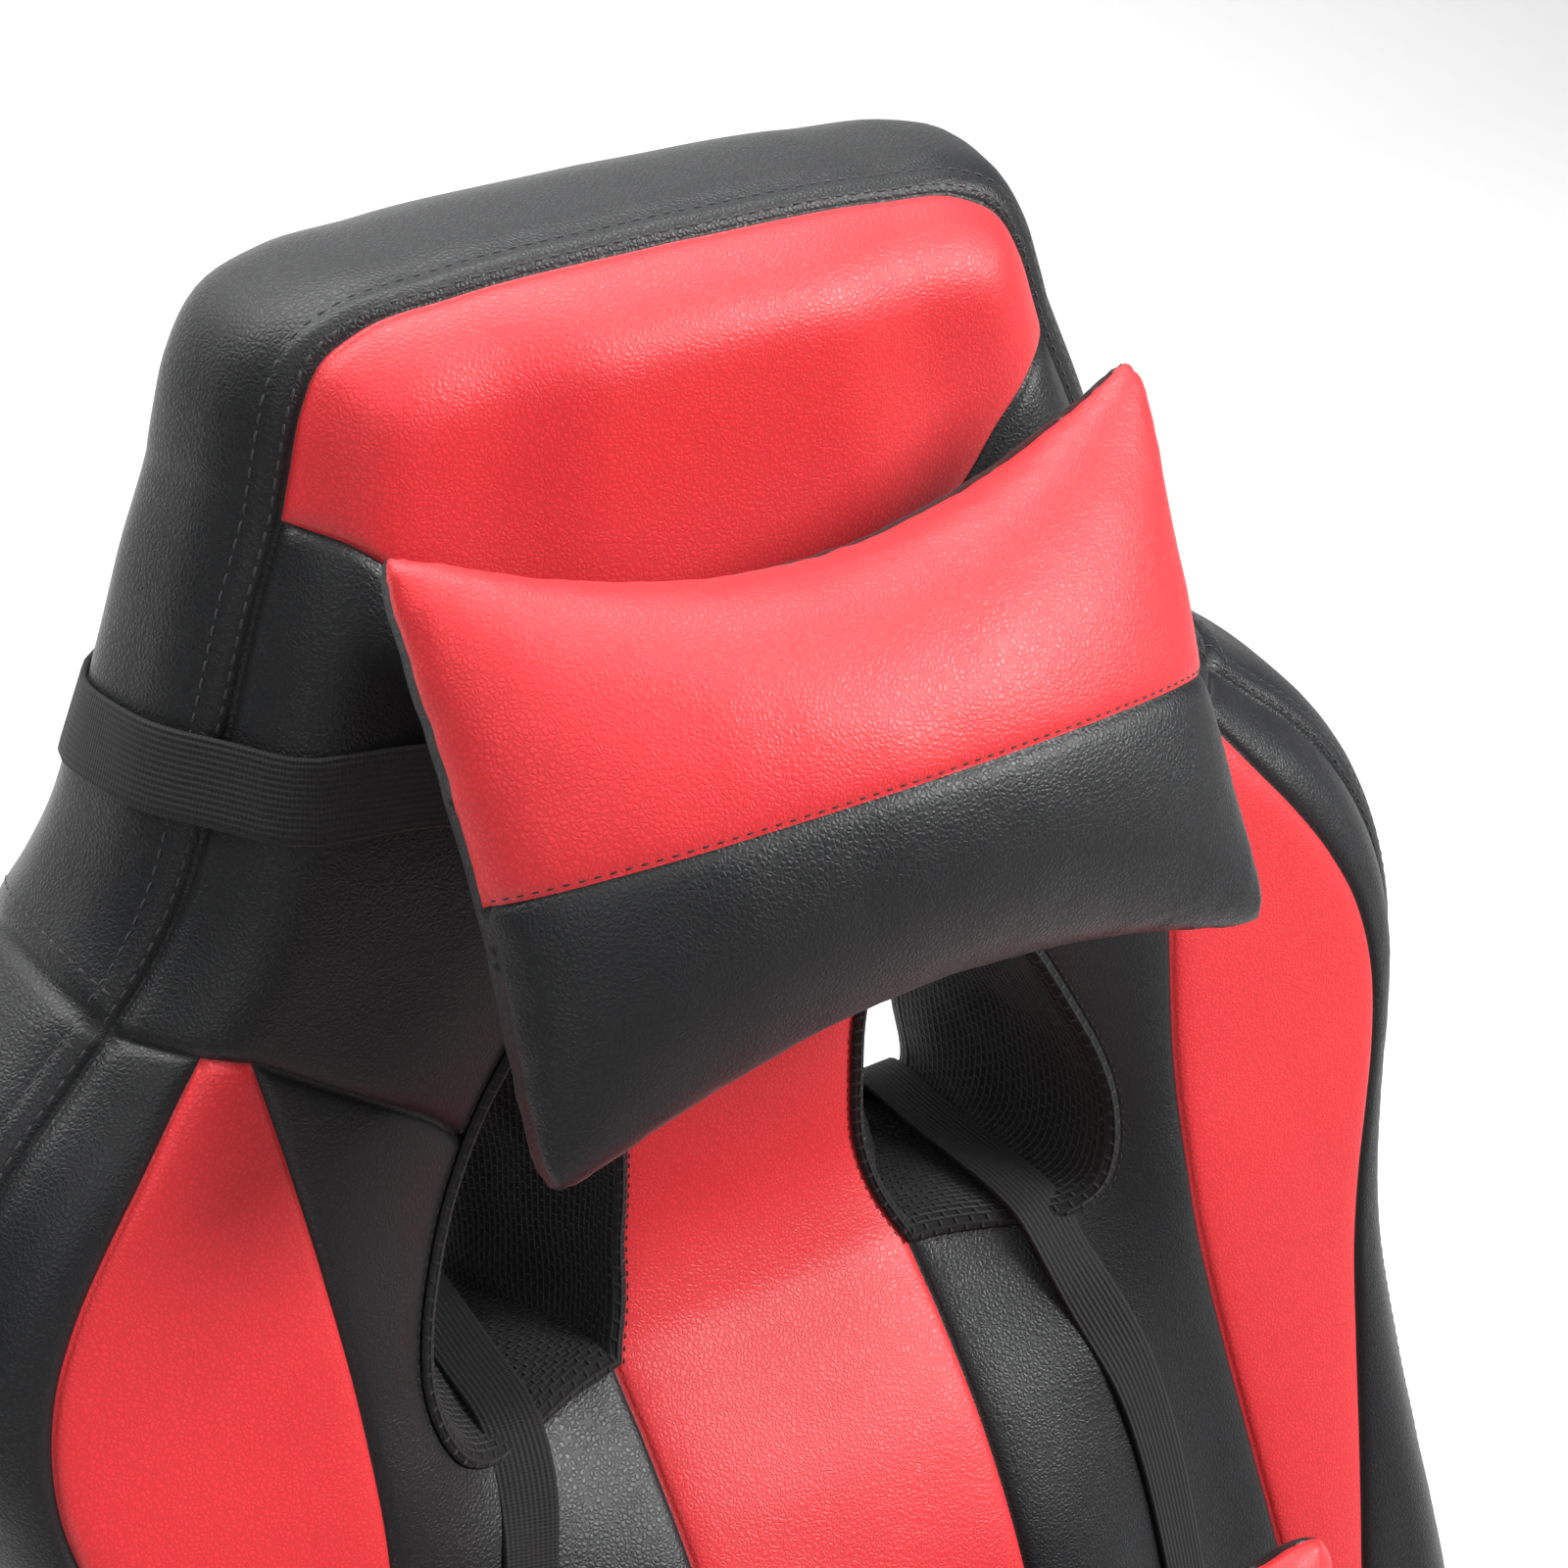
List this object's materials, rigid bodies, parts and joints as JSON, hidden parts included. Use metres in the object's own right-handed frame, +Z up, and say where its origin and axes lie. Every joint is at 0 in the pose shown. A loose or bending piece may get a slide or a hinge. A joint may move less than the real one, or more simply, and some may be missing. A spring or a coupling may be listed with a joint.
{
  "type": "gaming chair",
  "caption": "Racing-style swivel chair with a winged backrest, neck openings, strapped head and lumbar pillows, height-adjustable armrests and a castered star base.",
  "frame": {"origin": "on the floor, at the middle of the chair's own box", "axes": "+Z up; the chair faces -Y; +X is on the sitter's left"},
  "size_m": [0.684, 0.796, 1.222],
  "materials": {
    "nylon": "satin",
    "soft_plastic": "matte",
    "black_steel": "satin",
    "chrome": "polished",
    "plywood": "matte",
    "black_leather": "satin",
    "red_leather": "satin",
    "elastic": "matte"
  },
  "bodies": {
    "base": {"star_base": "nylon", "gas_cylinder": "black_steel", "column_cover_lower": "nylon"},
    "caster_1": {"caster_stem_1": "chrome", "caster_hood_1": "nylon"},
    "wheel_left_1": {"caster_wheel_left_1": "nylon"},
    "wheel_right_1": {"caster_wheel_right_1": "nylon"},
    "caster_2": {"caster_stem_2": "chrome", "caster_hood_2": "nylon"},
    "wheel_left_2": {"caster_wheel_left_2": "nylon"},
    "wheel_right_2": {"caster_wheel_right_2": "nylon"},
    "caster_3": {"caster_stem_3": "chrome", "caster_hood_3": "nylon"},
    "wheel_left_3": {"caster_wheel_left_3": "nylon"},
    "wheel_right_3": {"caster_wheel_right_3": "nylon"},
    "caster_4": {"caster_stem_4": "chrome", "caster_hood_4": "nylon"},
    "wheel_left_4": {"caster_wheel_left_4": "nylon"},
    "wheel_right_4": {"caster_wheel_right_4": "nylon"},
    "caster_5": {"caster_stem_5": "chrome", "caster_hood_5": "nylon"},
    "wheel_left_5": {"caster_wheel_left_5": "nylon"},
    "wheel_right_5": {"caster_wheel_right_5": "nylon"},
    "cover_middle": {"column_cover_middle": "nylon"},
    "column": {"gas_piston": "chrome", "column_cover_upper": "nylon"},
    "mechanism": {"tilt_base": "black_steel", "tilt_pin": "chrome", "tension_spring": "chrome"},
    "knob": {"tension_knob": "nylon"},
    "bush": {"lever_bush": "nylon"},
    "lever": {"lift_lever": "chrome", "lever_grip": "nylon"},
    "seat": {"tilt_plate": "black_steel", "seat_board": "plywood", "seat_cushion": "black_leather", "arm_bracket_left": "black_steel", "arm_sleeve_left": "soft_plastic", "seat_hinge_plate_left": "black_steel", "hinge_cover_left": "nylon", "arm_bracket_right": "black_steel", "arm_sleeve_right": "soft_plastic", "seat_hinge_plate_right": "black_steel", "hinge_cover_right": "nylon"},
    "arm_left": {"arm_post_left": "soft_plastic", "arm_pad_left": "soft_plastic"},
    "button_left": {"arm_button_left": "nylon"},
    "arm_right": {"arm_post_right": "soft_plastic", "arm_pad_right": "soft_plastic"},
    "button_right": {"arm_button_right": "nylon"},
    "recline_lever": {"recline_lever": "nylon"},
    "back": {"back_hinge_plate_left": "black_steel", "back_hinge_plate_right": "black_steel", "back_frame": "black_steel", "back_cushion": "black_leather", "lumbar_pillow": "red_leather", "lumbar_strap_left": "elastic", "lumbar_strap_right": "elastic"},
    "head_pillow": {"head_pillow": "red_leather", "head_strap": "elastic"}
  },
  "joints": [
    {"name": "caster_swivel_1", "type": "hinge", "parent": "base", "child": "caster_1", "pos_m": [0, -0.377, 0.09], "axis": [0, 0, 1], "continuous": true},
    {"name": "wheel_roll_left_1", "type": "hinge", "parent": "caster_1", "child": "wheel_left_1", "pos_m": [0, -0.355, 0.03], "axis": [1, 0, 0], "continuous": true},
    {"name": "wheel_roll_right_1", "type": "hinge", "parent": "caster_1", "child": "wheel_right_1", "pos_m": [0, -0.355, 0.03], "axis": [1, 0, 0], "continuous": true},
    {"name": "caster_swivel_2", "type": "hinge", "parent": "base", "child": "caster_2", "pos_m": [0.29958, -0.15934, 0.09], "axis": [0, 0, 1], "continuous": true},
    {"name": "wheel_roll_left_2", "type": "hinge", "parent": "caster_2", "child": "wheel_left_2", "pos_m": [0.29958, -0.13734, 0.03], "axis": [1, 0, 0], "continuous": true},
    {"name": "wheel_roll_right_2", "type": "hinge", "parent": "caster_2", "child": "wheel_right_2", "pos_m": [0.29958, -0.13734, 0.03], "axis": [1, 0, 0], "continuous": true},
    {"name": "caster_swivel_3", "type": "hinge", "parent": "base", "child": "caster_3", "pos_m": [0.18515, 0.19284, 0.09], "axis": [0, 0, 1], "continuous": true},
    {"name": "wheel_roll_left_3", "type": "hinge", "parent": "caster_3", "child": "wheel_left_3", "pos_m": [0.18515, 0.21484, 0.03], "axis": [1, 0, 0], "continuous": true},
    {"name": "wheel_roll_right_3", "type": "hinge", "parent": "caster_3", "child": "wheel_right_3", "pos_m": [0.18515, 0.21484, 0.03], "axis": [1, 0, 0], "continuous": true},
    {"name": "caster_swivel_4", "type": "hinge", "parent": "base", "child": "caster_4", "pos_m": [-0.18515, 0.19284, 0.09], "axis": [0, 0, 1], "continuous": true},
    {"name": "wheel_roll_left_4", "type": "hinge", "parent": "caster_4", "child": "wheel_left_4", "pos_m": [-0.18515, 0.21484, 0.03], "axis": [1, 0, 0], "continuous": true},
    {"name": "wheel_roll_right_4", "type": "hinge", "parent": "caster_4", "child": "wheel_right_4", "pos_m": [-0.18515, 0.21484, 0.03], "axis": [1, 0, 0], "continuous": true},
    {"name": "caster_swivel_5", "type": "hinge", "parent": "base", "child": "caster_5", "pos_m": [-0.29958, -0.15934, 0.09], "axis": [0, 0, 1], "continuous": true},
    {"name": "wheel_roll_left_5", "type": "hinge", "parent": "caster_5", "child": "wheel_left_5", "pos_m": [-0.29958, -0.13734, 0.03], "axis": [1, 0, 0], "continuous": true},
    {"name": "wheel_roll_right_5", "type": "hinge", "parent": "caster_5", "child": "wheel_right_5", "pos_m": [-0.29958, -0.13734, 0.03], "axis": [1, 0, 0], "continuous": true},
    {"name": "lift", "type": "slide", "parent": "base", "child": "column", "axis": [0, 0, 1], "range_m": [0, 0.08], "stiffness_N_per_m": 200, "springref_m": 1.9},
    {"name": "cover_slide", "type": "slide", "parent": "base", "child": "cover_middle", "axis": [0, 0, 1], "range_m": [0, 0.04]},
    {"name": "seat_swivel", "type": "hinge", "parent": "column", "child": "mechanism", "pos_m": [0, -0.062, 0.36], "axis": [0, 0, 1], "continuous": true},
    {"name": "tension_turn", "type": "hinge", "parent": "mechanism", "child": "knob", "pos_m": [0, -0.16, 0.3], "axis": [0, 0, 1], "range_deg": [-540, 540]},
    {"name": "lever_lift", "type": "hinge", "parent": "mechanism", "child": "bush", "pos_m": [-0.024, -0.036, 0.356], "axis": [0, 1, 0], "range_deg": [0, 7], "stiffness_Nm_per_rad": 4, "springref_deg": -6.88},
    {"name": "lever_pull", "type": "slide", "parent": "bush", "child": "lever", "axis": [-1, 0, 0], "range_m": [0, 0.012]},
    {"name": "rocking", "type": "hinge", "parent": "mechanism", "child": "seat", "pos_m": [0, -0.107, 0.386], "axis": [-1, 0, 0], "range_deg": [0, 12], "stiffness_Nm_per_rad": 400, "springref_deg": -17.19},
    {"name": "recline", "type": "hinge", "parent": "seat", "child": "back", "pos_m": [0, 0.213, 0.452], "axis": [-1, 0, 0], "range_deg": [-5, 50]},
    {"name": "recline_release", "type": "hinge", "parent": "seat", "child": "recline_lever", "pos_m": [0, 0.213, 0.452], "axis": [-1, 0, 0], "range_deg": [0, 25], "stiffness_Nm_per_rad": 2, "springref_deg": -11.46},
    {"name": "head_pillow_height", "type": "slide", "parent": "back", "child": "head_pillow", "axis": [0, 0.0995, 0.995], "range_m": [0, 0.04]},
    {"name": "arm_height_left", "type": "slide", "parent": "seat", "child": "arm_left", "axis": [0, 0, 1], "range_m": [0, 0.07]},
    {"name": "arm_button_left_press", "type": "slide", "parent": "arm_left", "child": "button_left", "axis": [-1, 0, 0], "range_m": [0, 0.004], "stiffness_N_per_m": 400, "springref_m": -0.003},
    {"name": "arm_height_right", "type": "slide", "parent": "seat", "child": "arm_right", "axis": [0, 0, 1], "range_m": [0, 0.07]},
    {"name": "arm_button_right_press", "type": "slide", "parent": "arm_right", "child": "button_right", "axis": [1, 0, 0], "range_m": [0, 0.004], "stiffness_N_per_m": 400, "springref_m": -0.003}
  ],
  "couplings": [
    {"joint": "cover_slide", "follows": "lift", "ratio": 0.5}
  ]
}
